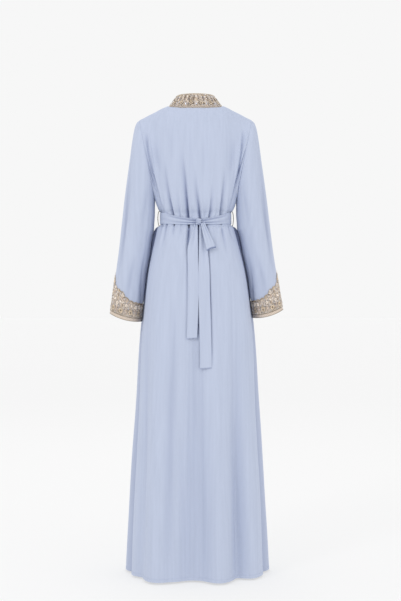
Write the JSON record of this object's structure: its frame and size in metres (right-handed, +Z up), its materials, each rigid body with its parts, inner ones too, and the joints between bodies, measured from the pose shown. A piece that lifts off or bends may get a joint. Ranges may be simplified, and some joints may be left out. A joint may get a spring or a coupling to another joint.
{
  "type": "embellished kaftan",
  "caption": "Full-length kaftan with wide straight sleeves, an embroidered collar band and cuffs, and a sash tied behind in a half bow with long tails.",
  "frame": {"origin": "middle of the shoulder line, between the two neck points, where the wearer's shoulders carry the garment", "axes": "+Z up, -Y out of the front, +X towards the wearer's left"},
  "size_m": [0.5679, 0.3547, 1.5442],
  "materials": {
    "crepe": "matt crepe with a soft sheen",
    "embroidery": "beaded and metal-thread embroidery on a beige ground",
    "braid": "woven metal-thread braid",
    "thread": "crocheted thread chain"
  },
  "bodies": {
    "root": {"back": "crepe", "front": "crepe", "sleeve_left": "crepe", "cuff_left": "embroidery", "cuff_braid_left": "braid", "sleeve_right": "crepe", "cuff_right": "embroidery", "cuff_braid_right": "braid", "collar": "embroidery", "sash": "crepe", "sash_knot": "crepe", "sash_tail_left": "crepe", "sash_tail_right": "crepe", "sash_loop": "crepe", "sash_carrier_left": "thread", "sash_carrier_right": "thread"}
  },
  "joints": []
}
